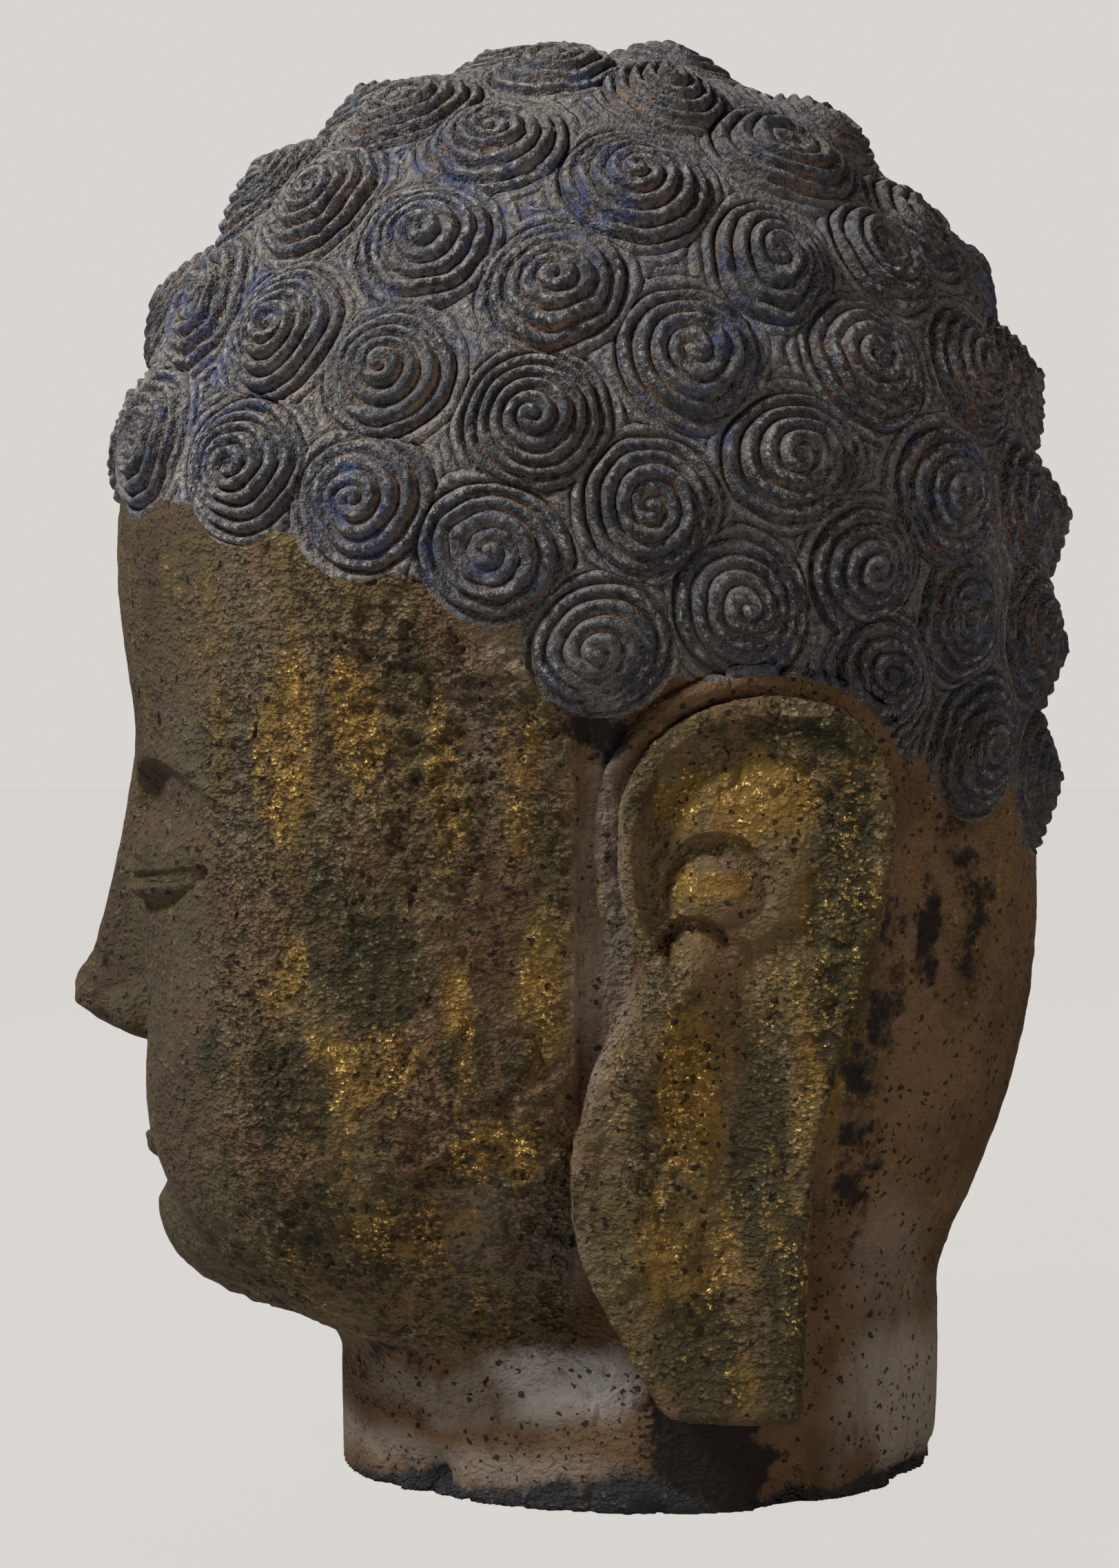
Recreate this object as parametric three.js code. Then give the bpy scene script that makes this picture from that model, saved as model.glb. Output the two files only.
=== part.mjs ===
// Head of a buddha carved from one block of stone, cut flat under the neck.
// Millimetres. +X is the head's left, -Y the way the face looks, +Z up; the cut underside lies on z = 0.
import * as THREE from "three";
import { ConvexHull } from "three/addons/math/ConvexHull.js";

// ---- driving dimensions
const HAIRLINE_Z = 351;            // hairline on the forehead
const CHIN_Z = 58;                 // underside of the chin
const CORE = [0, 0, 250];          // a point inside from which every part of the surface is seen
const CRANIUM = { centre: [0, 4, 330], half: [147, 168, 180] };
const NAPE = { centre: [0, 17, 216], half: [129, 153, 216] };
const MIDFACE = { centre: [0, -46, 212], half: [120, 110, 158] };
const CHEEK = { centre: [46, -56, 138], half: [78, 92, 82] };
const CHIN = { centre: [0, -104, 92], half: [42, 46, 34] };
const NECK = { y: 25.5, halfX: 97, halfY: 108.5, top: 140, blend: 7 };
const CROWN_TILT = 19.3 * Math.PI / 180;   // how far the rows of curls lean forward of level
const CURL_HEIGHT = 12;
const FACE_STEP = 7.4;             // spacing of the facets over the face
const FILL_STEP = 17;              // and over the plain stone
const EAR_STEP = 7.6;
const EAR_EDGES = 72;                // facets round the ear's edge

// ---- the face, in thirds from hairline to chin
const THIRD = (HAIRLINE_Z - CHIN_Z) / 3;
const BROW_Z = HAIRLINE_Z - THIRD;
const NOSE_Z = BROW_Z - THIRD;
const EYE = { x: 50, z: BROW_Z - 0.3 * THIRD, halfX: 33, halfZ: 17, bulge: 10.5 };
const MOUTH = { z: NOSE_Z - 0.34 * THIRD, half: 31 };

// ---- curls: each row's latitude from the crown's axis, and its azimuths from the forehead round to the back
// on one side, in degrees; an entry with a latitude of its own is [azimuth, latitude]
const CURL_ROWS = [
  [94, [0, 19.5, 42, 60.5, 79, [96, 101], [133, 92.5], [152, 96], [171, 97]]],
  [77, [0, 20.5, 40.5, 58.5, 78.5, [95.5, 83], [111, 90.8],
    [125.5, 80.5], [144, 83], [163, 80.5], [180, 82]]],
  [60, [10.5, 31.5, 53, 74, [95, 62], [112, 70], [137, 68], [157, 65.5], [180, 66]]],
  [44, [0, 26, 50.5, [77, 42], [103, 46], [121.5, 55], [127, 39.5], [146, 51], [168, 50]]],
  [27, [0, 36, [69, 24], [104, 27], [145, 31], [180, 34]]],
  [9, [0, [140, 14]]],
];
const CURL_RADIUS = [17.5, 26];    // least and greatest
const TROUGH_DEPTH = 5;            // hollow between cheek and ear

// ---- ear outline, seen from the side as [y, z], round from the front of the helix over the top to the lobe
const EAR_OUTLINE = [
  [16, 222], [17, 247], [25, 265], [40, 276], [62, 281], [85, 277], [100, 264], [105, 246], [102, 214],
  [92, 178], [81, 138], [77, 95], [75, 44], [36, 42], [17, 63], [3, 94], [0, 120], [4, 141], [15, 165],
  [24, 187], [19, 206],
];

const clamp = (v, a, b) => Math.min(b, Math.max(a, v));
function smooth(a, b, v) {                    // 0 at a, 1 at b
  const t = clamp((v - a) / (b - a), 0, 1);
  return t * t * (3 - 2 * t);
}
const bell = (v) => Math.exp(-v * v);
const dome = (v) => Math.sqrt(Math.max(0, 1 - v));
function smoothMin(a, b, k) {
  const h = clamp(0.5 + 0.5 * (b - a) / k, 0, 1);
  return b + (a - b) * h - k * h * (1 - h);
}
const smoothMax = (a, b, k) => -smoothMin(-a, -b, k);

function ellipsoid(x, y, z, { centre: c, half: r }) {
  const q = [(x - c[0]) / r[0], (y - c[1]) / r[1], (z - c[2]) / r[2]];
  const k0 = Math.hypot(...q);
  const k1 = Math.hypot(q[0] / r[0], q[1] / r[1], q[2] / r[2]);
  return k0 * (k0 - 1) / Math.max(k1, 1e-9);
}

/** The plain mass of head and neck: negative inside. */
function mass(x, y, z) {
  const ax = Math.abs(x);
  let f = ellipsoid(x, y, z, CRANIUM);
  f = smoothMin(f, ellipsoid(x, y, z, NAPE), 22);
  f = smoothMin(f, ellipsoid(x, y, z, MIDFACE), 26);
  f = smoothMin(f, ellipsoid(ax, y, z, CHEEK), 24);
  f = smoothMin(f, ellipsoid(x, y, z, CHIN), 20);
  const neck = Math.max((Math.hypot(x / NECK.halfX, (y - NECK.y) / NECK.halfY) - 1) * 100, z - NECK.top);
  f = smoothMin(f, neck, NECK.blend);
  return Math.max(f, -z);
}

/** Where a ray leaves the plain mass. */
function leave(from, dir) {
  let lo = 10, hi = 430;
  for (let i = 0; i < 30; i++) {
    const t = (lo + hi) / 2;
    if (mass(from[0] + dir[0] * t, from[1] + dir[1] * t, from[2] + dir[2] * t) > 0) hi = t; else lo = t;
  }
  return from.map((v, i) => v + dir[i] * lo);
}

const unit = (v) => { const l = Math.hypot(...v); return v.map((c) => c / l); };
const add = (a, b, s = 1) => a.map((v, i) => v + b[i] * s);
const sub = (a, b) => a.map((v, i) => v - b[i]);
const cross = (a, b) => [a[1] * b[2] - a[2] * b[1], a[2] * b[0] - a[0] * b[2], a[0] * b[1] - a[1] * b[0]];
const distance = (a, b) => Math.hypot(a[0] - b[0], a[1] - b[1], a[2] - b[2]);

function normalAt(p, e = 0.5) {
  return unit([0, 1, 2].map((i) => {
    const a = [...p], b = [...p];
    a[i] += e; b[i] -= e;
    return mass(...a) - mass(...b);
  }));
}

// ---- relief of the face, a height toward -Y over |x| and z
const browLine = (ax) => BROW_Z + 5 - 19 * ((ax - 52) / 46) ** 2;
const lidLine = (ex) => EYE.z - 6.5 + 3 * ex * ex + 1.2 * ex;
const mouthLine = (m) => MOUTH.z + 2.6 * m * m;

function nose(ax, z) {
  const t = clamp((BROW_Z + 4 - z) / (BROW_Z - NOSE_Z - 5), 0, 1);
  const half = 13 + 7 * t;
  const bridge = (5 + 7 * t + 17 * t ** 2.2) * (1 - smooth(0.05, 1.3, ax / half))
    * smooth(NOSE_Z + 1, NOSE_Z + 12, z) * smooth(BROW_Z + 34, BROW_Z - 10, z);
  const tip = 32.6 * dome((ax / 15.5) ** 2 + ((z - NOSE_Z - 14) / 15) ** 2);
  const wing = 19 * dome(((ax - 17) / 10.5) ** 2 + ((z - NOSE_Z - 10) / 10.5) ** 2);
  const nostril = 5 * bell((ax - 9) / 4.5) * bell((z - NOSE_Z - 1) / 3);
  return smoothMax(smoothMax(bridge, tip, 6), wing, 5) - 1.5 - nostril;
}

function socket(ax, z) {
  const below = browLine(ax) - z;
  const deep = 1.5 + 11.5 * smooth(100, 20, ax);
  return (1.2 * bell((below + 2) / 4) - deep * smooth(-1, 5, below) * (1 - smooth(14, 54, below)))
    * smooth(8, 16, ax) * smooth(104, 76, ax);
}

function eye(ax, z) {
  const ex = (ax - EYE.x) / EYE.halfX, ez = (z - EYE.z) / EYE.halfZ;
  const across = dome(ex * ex);
  if (across <= 0) return 0;
  const over = z - lidLine(ex);
  const open = smooth(0.8, -0.4, over) * smooth(-5.2, -4, over) * Math.sqrt(across);
  return EYE.bulge * dome(ex * ex + ez * ez) - 2.2 * open;
}

function mouth(ax, z) {
  const m = ax / MOUTH.half, across = Math.max(0, 1 - m * m);
  const v = z - mouthLine(m);
  const up = 10 * across ** 0.75 * (1 - 0.2 * bell(ax / 5)) + 1e-6, down = 12.5 * across ** 0.6 + 1e-6;
  let h = 3 * bell(ax / 40) * bell(v / 22);
  if (v >= 0 && v < up) h += 5.2 * (1 - v / up) ** 0.6 * across ** 0.5;
  if (v < 0 && -v < down) h += 6.2 * dome(((-v / down - 0.4) / 0.62) ** 2) * across ** 0.5;
  h -= 3 * bell(v / 1.8) * smooth(1.08, 0.85, m);
  h -= 1.8 * bell((ax - MOUTH.half - 3) / 6) * bell((z - MOUTH.z - 2.5) / 8);
  h -= 1.7 * bell(ax / 3.6) * smooth(MOUTH.z + 9, MOUTH.z + 14, z) * smooth(NOSE_Z + 2, NOSE_Z - 4, z);
  h -= 3.5 * bell((z - MOUTH.z + 20) / 6) * bell(ax / 26);
  return h;
}

const faceRelief = (x, z) => {
  const ax = Math.abs(x);
  return Math.max(0, nose(ax, z)) + socket(ax, z) + eye(ax, z) + mouth(ax, z);
};

// ---- ears
function outlineDistance(y, z, loop) {       // positive outside, negative inside
  let best = Infinity, inside = false;
  for (let i = 0; i < loop.length; i++) {
    const [ay, az] = loop[i], [by, bz] = loop[(i + 1) % loop.length];
    best = Math.min(best, segmentDistance(y, z, loop[i], loop[(i + 1) % loop.length]));
    if ((az > z) !== (bz > z) && y < ay + (z - az) / (bz - az) * (by - ay)) inside = !inside;
  }
  return inside ? -best : best;
}
function segmentDistance(y, z, a, b) {
  const dy = b[0] - a[0], dz = b[1] - a[1];
  const t = clamp(((y - a[0]) * dy + (z - a[1]) * dz) / (dy * dy + dz * dz), 0, 1);
  return Math.hypot(y - a[0] - t * dy, z - a[1] - t * dz);
}
const earCurve = new THREE.CatmullRomCurve3(
  EAR_OUTLINE.map(([y, z]) => new THREE.Vector3(0, y, z)), true, "centripetal");
const earLoop = earCurve.getSpacedPoints(EAR_EDGES).slice(0, EAR_EDGES).map((p) => [p.y, p.z]);

/** How far out the face of the ear stands, in X. */
function earFace(y, z) {
  const edge = -outlineDistance(y, z, earLoop);
  const upper = smooth(178, 205, z);
  let x = 128 + 0.19 * y + 0.05 * (z - 60);
  x += (2.5 + 1.5 * upper) * bell((edge - 5) / 5) - 5 * upper * bell((edge - 15) / 6);   // rim and its groove
  x -= 4 * dome(((y - 56) / 34) ** 2 + ((z - 234) / 36) ** 2) * upper;                   // bowl
  x += 8 * dome(((y - 47) / 18) ** 2 + ((z - 222) / 13) ** 2);                           // inner fold
  x -= 9 * bell((y - 44) / 7) * bell((z - 202) / 7);                                     // ear hole
  x += 5 * bell(segmentDistance(y, z, [42, 192], [22, 160]) / 8);                        // front edge of lobe
  x += 3 * bell(segmentDistance(y, z, [22, 160], [18, 90]) / 8);
  x -= 5 * bell(segmentDistance(y, z, [58, 185], [48, 70]) / 12);                        // hollow of the lobe
  return x;
}
/** The hollow between cheek and ear. */
const trough = (y, z) => (
  TROUGH_DEPTH * smooth(0.5, 4, y) * smooth(24, 17, y) * smooth(128, 165, z) * smooth(286, 276, z)
);

// ---- points on the finished surface, each with the least room it keeps
const points = [];
function put(p, room = 0, foot = p) {        // foot: where the point stands on the plain mass
  const d = unit(sub(foot, CORE));
  for (const q of points) if (distance(p, q.p) < Math.max(0.8, room)) return;
  points.push({ p, d });
}

function crownDirection(az, lat) {
  const la = lat * Math.PI / 180, a = az * Math.PI / 180;
  const s = Math.sin(CROWN_TILT), c = Math.cos(CROWN_TILT);
  const forward = Math.sin(la) * Math.cos(a), up = Math.cos(la);
  return [Math.sin(la) * Math.sin(a), up * s - forward * c, up * c + forward * s];
}

const curls = [];
for (const [rowLat, row] of CURL_ROWS) {
  for (const entry of row) {
    const [az, lat] = Array.isArray(entry) ? entry : [entry, rowLat];
    for (const side of az === 0 || az === 180 ? [1] : [1, -1]) {
      curls.push({ p: leave(CRANIUM.centre, crownDirection(az * side, lat)) });
    }
  }
}
for (const c of curls) {
  const near = curls.filter((o) => o !== c).map((o) => distance(o.p, c.p)).sort((a, b) => a - b);
  c.r = clamp(0.25 * (near[0] + near[1]), ...CURL_RADIUS);
  c.n = normalAt(c.p);
}

// the ear as seen from the core, drawn on a plane 120 mm out from it
const PLANE = 120;
const flatten = (x, y, z) => [PLANE * y / Math.abs(x), PLANE * (z - CORE[2]) / Math.abs(x)];
const EDGE_ROUND = 4;              // how far the ear's edge turns back from its face
const MIN_DRAFT = 4;
/** Foot of the ear's wall, always outside its edge as seen from the core. */
const earFoot = earLoop.map(([y, z], i) => {
  const [ny, nz] = earLoop[(i + 1) % EAR_EDGES], [py, pz] = earLoop[(i + EAR_EDGES - 1) % EAR_EDGES];
  const [, oy, oz] = unit([0, -(nz - pz), ny - py]);     // the loop runs front, top, back
  const [eu, ev] = flatten(earFace(y, z) - EDGE_ROUND, y, z);
  const straight = leave([0, y + oy, z + oz], [1, 0, 0]);
  const [su, sv] = flatten(...straight);
  const out = Math.max(MIN_DRAFT, (su - eu) * oy + (sv - ev) * oz);
  const u = eu + out * oy, v = ev + out * oz;
  return { oy, oz, u, v, p: leave(CORE, unit([PLANE, u, v])) };
});
const footLoop = earFoot.map((f) => [f.u, f.v]);
const nearEar = (p, room) => Math.abs(p[0]) > 40 && outlineDistance(...flatten(...p), footLoop) < room;

// ears: edge of the face of the ear, foot of its wall, then the carved face
for (const side of [1, -1]) {
  for (let i = 0; i < earLoop.length; i++) {
    const [y, z] = earLoop[i], { oy, oz, p } = earFoot[i];
    const inset = [y - 2.5 * oy, z - 2.5 * oz];
    put([side * (earFace(...inset) + 0.5), ...inset]);
    put([side * (earFace(y, z) - EDGE_ROUND), y, z]);
    put([side * (p[0] - trough(p[1], p[2])), p[1], p[2]], 0, [side * p[0], p[1], p[2]]);
  }
  for (let row = 0, z = 50; z < 280; z += EAR_STEP, row++) {
    for (let y = 4 + (row % 2) * EAR_STEP / 2; y < 104; y += EAR_STEP) {
      if (outlineDistance(y, z, earLoop) < -6) put([side * earFace(y, z), y, z], 5);
    }
  }
  for (let z = 130; z < 290; z += 11) {                  // rear edge of the cheek and floor of the hollow
    for (const y of [0.3, 4.5]) {
      const f = leave([0, y, z], [side, 0, 0]), p = [f[0] - side * trough(y, z), y, z];
      if (!nearEar([f[0], y, z], 2.5)) put(p, 3, f);
    }
  }
}

// rim and centre of the cut underside, rings up the neck, and rings that widen away from it under the jaw
const RIM = 44;
const aroundNeck = (i, spread = 1) => {
  const a = 2 * Math.PI * i / RIM;
  return [NECK.halfX * spread * Math.cos(a), NECK.y + NECK.halfY * spread * Math.sin(a)];
};
put([0, NECK.y, 0]);
for (let i = 0; i < RIM; i++) put([...aroundNeck(i), 0]);
for (const z of [16, 30, 43, 51]) {
  for (let i = 0; i < RIM; i += 2) {
    const [x, y] = aroundNeck(i);
    const p = leave([0, NECK.y, z], unit([x, y - NECK.y, 0]));
    if (!nearEar(p, 6)) put(p, 5);
  }
}
for (const spread of [1.1, 1.2, 1.34, 1.52, 1.74, 2]) {
  for (let i = 0.5; i < RIM; i++) {
    const p = leave(CORE, unit([...aroundNeck(i, spread), -CORE[2]]));
    if (!nearEar(p, 4)) put(p, 7 * spread);
  }
}

// curls: three rings and a tip on each
const CURL_PROFILE = [[0.44, 9.2, 5], [0.8, 5.4, 10], [1, 1.2, 10]];     // share of the reach, height, sides
/** How far a curl reaches in a direction: its own radius, or half way to a neighbour. */
function reachOf(c, dir) {
  let reach = c.r;
  for (const o of curls) {
    const to = sub(o.p, c.p), along = dir[0] * to[0] + dir[1] * to[1] + dir[2] * to[2];
    if (o === c || along <= 0) continue;
    reach = Math.min(reach, (distance(o.p, c.p) ** 2 + c.r ** 2 - o.r ** 2) / (2 * along));
  }
  return reach;
}
for (const { p, n } of curls) if (!nearEar(p, 4)) put(add(p, n, CURL_HEIGHT), 0, p);
for (const [share, height, sides] of CURL_PROFILE) {
  for (const c of curls) {
    const e1 = unit(cross([0.3, 0.2, 1], c.n)), e2 = cross(c.n, e1);
    for (let i = 0; i < sides; i++) {
      const a = 2 * Math.PI * i / sides;
      const dir = add([0, 0, 0], e1, Math.cos(a)).map((v, k) => v + e2[k] * Math.sin(a));
      const foot = leave(CORE, unit(sub(add(c.p, dir, share * reachOf(c, dir)), CORE)));
      if (!nearEar(foot, 4)) put(add(foot, c.n, height), share === 1 ? 6 : 2, foot);
    }
  }
}

// face: a grid, closer lines where the carving turns sharply
function facePoint(x, z, room) {
  if (mass(x, -50, z) > -4) return;
  const p = leave([x, -40, z], [0, -1, 0]);
  put([x, p[1] - faceRelief(x, z), z], room, p);
}
for (const side of [1, -1]) {
  for (const ax of [0, 6, 12, 18, 24, 28, 30.5, 36, 42, 48, 54, 60, 66, 72, 78, 84, 90]) {
    if (ax >= 12) { facePoint(side * ax, browLine(ax) + 1, 3); facePoint(side * ax, browLine(ax) - 5, 3); }
    if (ax < MOUTH.half) {
      const m = ax / MOUTH.half, line = mouthLine(m), wide = Math.sqrt(1 - m * m);
      const lips = [0, 2.6, 11 * wide, -5 * wide - 1, -13 * wide];
      for (const v of lips) facePoint(side * ax, line + v, 1.8);
    }
    const ex = (ax - EYE.x) / EYE.halfX;
    if (Math.abs(ex) < 1) {
      for (const v of [1.2, -1.2, -5.6]) facePoint(side * ax, lidLine(ex) + v, 2);
      for (const v of [1, -1]) facePoint(side * ax, EYE.z + v * (EYE.halfZ * dome(ex * ex) + 1), 3);
    }
  }
  for (const [x, z, r] of [[0, 14, 15], [17, 10, 10.5]]) {                   // tip and wing of the nose
    facePoint(side * x, NOSE_Z + z, 2);
    for (const share of [1.04, 0.86, 0.55]) {
      for (let i = 0; i < 14; i++) {
        const a = 2 * Math.PI * i / 14, nx = x + share * r * Math.cos(a);
        if (nx >= 0) facePoint(side * nx, NOSE_Z + z + share * r * Math.sin(a), 2.6);
      }
    }
  }
  for (let z = NOSE_Z + 28; z < BROW_Z + 20; z += 9) {
    for (const x of [0, 5, 10, 16, 22]) facePoint(side * x, z, 3);
  }
}
for (let z = CHIN_Z + 10; z < HAIRLINE_Z + 4; z += FACE_STEP) {
  for (let k = -13; k <= 13; k++) {
    facePoint(k * FACE_STEP, z, z > BROW_Z + 26 || Math.abs(k) > 12 ? 13 : 5.2);
  }
}

// plain stone: cheeks, jaw, nape, neck and the ground between curls
const FILL = 2600, GOLDEN = Math.PI * (3 - Math.sqrt(5));
for (let i = 0; i < FILL; i++) {
  const z = 1 - 2 * (i + 0.5) / FILL, s = Math.sqrt(1 - z * z);
  const p = leave(CORE, [s * Math.cos(GOLDEN * i), s * Math.sin(GOLDEN * i), z]);
  if (p[2] < 4 || nearEar(p, 5)) continue;
  const q = sub(p, CRANIUM.centre);
  const aboveHairline = q[1] * Math.sin(CROWN_TILT) + q[2] * Math.cos(CROWN_TILT) > -30;
  if (curls.some((o) => distance(o.p, p) < 1.06 * o.r)) continue;
  put(p, aboveHairline ? 9 : FILL_STEP);
}

// ---- one closed skin over all the points
const nodes = points.map(({ d }) => new THREE.Vector3(...d));
const index = new Map(nodes.map((v, i) => [v, i]));
const hull = new ConvexHull().setFromPoints(nodes);
const position = new Float32Array(points.length * 3);
points.forEach(({ p }, i) => position.set(p, 3 * i));
const triangles = [];
for (const face of hull.faces) {
  let edge = face.edge;
  do { triangles.push(index.get(edge.head().point)); edge = edge.next; } while (edge !== face.edge);
}

const geometry = new THREE.BufferGeometry();
geometry.setAttribute("position", new THREE.BufferAttribute(position, 3));
geometry.setIndex(triangles);
geometry.computeVertexNormals();

const STONE_COLOUR = 0x6f6558;
const stone = new THREE.MeshStandardMaterial({
  name: "stone", color: STONE_COLOUR, roughness: 0.9, flatShading: true,
});
const head = new THREE.Mesh(geometry, stone);
head.name = "stone_head";

const group = new THREE.Group();
group.name = "stone_buddha_head";
group.add(head);
export default group;
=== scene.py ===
"""A buddha's head carved from one block of stone, with its studio, laid out as a Blender add-on."""
import math
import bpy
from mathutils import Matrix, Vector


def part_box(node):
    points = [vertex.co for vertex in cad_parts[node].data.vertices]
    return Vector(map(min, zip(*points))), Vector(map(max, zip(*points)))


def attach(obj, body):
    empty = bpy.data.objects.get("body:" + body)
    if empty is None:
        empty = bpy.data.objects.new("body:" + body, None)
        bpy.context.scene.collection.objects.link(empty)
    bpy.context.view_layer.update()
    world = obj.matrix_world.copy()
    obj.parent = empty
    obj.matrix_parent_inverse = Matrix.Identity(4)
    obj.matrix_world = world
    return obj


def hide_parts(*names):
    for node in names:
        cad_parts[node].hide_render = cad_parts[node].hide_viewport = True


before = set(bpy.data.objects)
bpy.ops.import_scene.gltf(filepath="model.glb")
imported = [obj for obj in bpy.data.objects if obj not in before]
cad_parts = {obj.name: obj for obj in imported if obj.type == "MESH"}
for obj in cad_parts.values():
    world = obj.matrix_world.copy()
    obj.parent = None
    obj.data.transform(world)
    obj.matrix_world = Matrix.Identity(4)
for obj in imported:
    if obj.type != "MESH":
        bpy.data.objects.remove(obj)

from concurrent.futures import ThreadPoolExecutor

import bmesh
import bpy
import numpy as np
from bpy.props import FloatProperty, FloatVectorProperty, IntProperty, PointerProperty
from mathutils import Vector

bl_info = {
    "name": "Carved Stone Head",
    "version": (1, 0, 0),
    "blender": (4, 5, 0),
    "location": "View3D > Sidebar > Stone Head",
    "description": "Carves a buddha's head with coiled curls, long ears and weathered stone, and its studio",
    "category": "Add Mesh",
}

# The carving below is worked out in millimetres: X to the head's left, -Y the way the face looks, Z up.
MM = 0.001
LOWEST, HIGHEST = (Vector(corner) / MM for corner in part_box("stone_head"))

# ------------------------ plain mass of head and neck
CORE = np.array([0.0, 0.0, 250.0])              # a point inside that sees the whole surface
SEARCH = (10.0, 430.0)                          # nearer and further from it than any surface
CRANIUM = ((0, 4, 330), (147, 168, 180))        # centre, half sizes
NAPE = ((0, 17, 216), (129, 153, 216))
MIDFACE = ((0, -46, 212), (120, 110, 158))
CHEEK = ((46, -56, 138), (78, 92, 82))
CHIN = ((0, -104, 92), (42, 46, 34))
NECK_Y, NECK_HALF, NECK_TOP, NECK_BLEND = 25.5, (97, 108.5), 140, 7
CROWN_TILT = math.radians(19.3)                 # the rows of curls lean forward by this

# azimuths of the curls in each row from the forehead round to the back, on one side, after the row's latitude
# from the crown's axis; (azimuth, latitude) where a curl sits off its row
CURL_ROWS = (
    (94, (0, 19.5, 42, 60.5, 79, (96, 101), (133, 92.5), (152, 96), (171, 97))),
    (77, (0, 20.5, 40.5, 58.5, 78.5, (95.5, 83), (111, 90.8), (125.5, 80.5), (144, 83), (163, 80.5),
          (180, 82))),
    (60, (10.5, 31.5, 53, 74, (95, 62), (112, 70), (137, 68), (157, 65.5), (180, 66))),
    (44, (0, 26, 50.5, (77, 42), (103, 46), (121.5, 55), (127, 39.5), (146, 51), (168, 50))),
    (27, (0, 36, (69, 24), (104, 27), (145, 31), (180, 34))),
    (9, (0, (140, 14))),
)
CURL_RADIUS = (17.5, 26)                        # least and greatest
CURL_FOOT = 2.6                                 # part of a curl's height that its edge has
CREST = 0.63                                    # how far out across its own width a turn is highest

# outline of the ear seen from the side, (y, z), round from the front over the top to the lobe
EAR_OUTLINE = (
    (16, 222), (17, 247), (25, 265), (40, 276), (62, 281), (85, 277), (100, 264), (105, 246), (102, 214),
    (92, 178), (81, 138), (77, 95), (76, 56), (75, 42), (64, 40), (46, 40), (33, 41), (27, 47), (16, 66),
    (3, 94), (0, 120), (4, 141), (15, 165), (24, 187), (19, 206),
)


# ------------------------ small shaping functions
def ease(start, end, value):
    """0 at start, 1 at end, smooth between; start may lie above end."""
    t = np.clip((value - start) / (end - start), 0, 1)
    return t * t * (3 - 2 * t)


def bell(value):
    return np.exp(-value * value)


def dome(value):
    return np.sqrt(np.clip(1 - value, 0, None))


def soft_min(a, b, reach):
    h = np.clip(0.5 + 0.5 * (b - a) / reach, 0, 1)
    return b + (a - b) * h - reach * h * (1 - h)


def soft_max(a, b, reach):
    return -soft_min(-a, -b, reach)


NOISE_CELLS = 32


def noise(points, size, seed):
    """Smooth random values from -1 to 1 that change over `size` millimetres."""
    cells = np.random.default_rng(seed).uniform(-1, 1, (NOISE_CELLS,) * 3)
    place = points / size
    corner = np.floor(place).astype(int)
    part = place - corner
    part = part * part * (3 - 2 * part)
    value = np.zeros(len(points))
    for step in np.ndindex(2, 2, 2):
        weight = np.prod(np.where(np.array(step, bool), part, 1 - part), axis=1)
        value += weight * cells[tuple((corner + step).T % NOISE_CELLS)]
    return value


def layered_noise(points, size, seed, layers=3):
    total = sum(noise(points, size / 2 ** k, seed + k) / 2 ** k for k in range(layers))
    return total / (2 - 2 ** (1 - layers))


# ------------------------ ears, worked out on a plan seen from the side
PLAN_LOW, PLAN_HIGH, PLAN_STEP = (-20.0, 20.0), (130.0, 305.0), 0.5


def rounded_loop(points, per_side=6):
    """A closed Catmull-Rom curve through the points."""
    p = np.array(points, float)
    before, after, beyond = np.roll(p, 1, 0), np.roll(p, -1, 0), np.roll(p, -2, 0)
    t = (np.arange(per_side) / per_side)[None, :, None]
    p, before, after, beyond = (a[:, None] for a in (p, before, after, beyond))
    curve = 0.5 * (2 * p + (after - before) * t + (2 * before - 5 * p + 4 * after - beyond) * t ** 2
                   + (3 * p - before - 3 * after + beyond) * t ** 3)
    return curve.reshape(-1, 2)


def segment_distance(y, z, a, b):
    dy, dz = b[0] - a[0], b[1] - a[1]
    t = np.clip(((y - a[0]) * dy + (z - a[1]) * dz) / (dy * dy + dz * dz), 0, 1)
    return np.hypot(y - a[0] - t * dy, z - a[1] - t * dz)


def loop_distance(y, z, loop):
    """Distance outside a closed loop, negative inside."""
    best = np.full(y.shape, 1e9)
    inside = np.zeros(y.shape, bool)
    for a, b in zip(loop, np.roll(loop, -1, 0)):
        best = np.minimum(best, segment_distance(y, z, a, b))
        if a[1] != b[1]:
            inside ^= ((a[1] > z) != (b[1] > z)) & (y < a[0] + (z - a[1]) / (b[1] - a[1]) * (b[0] - a[0]))
    return np.where(inside, -best, best)


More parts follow.
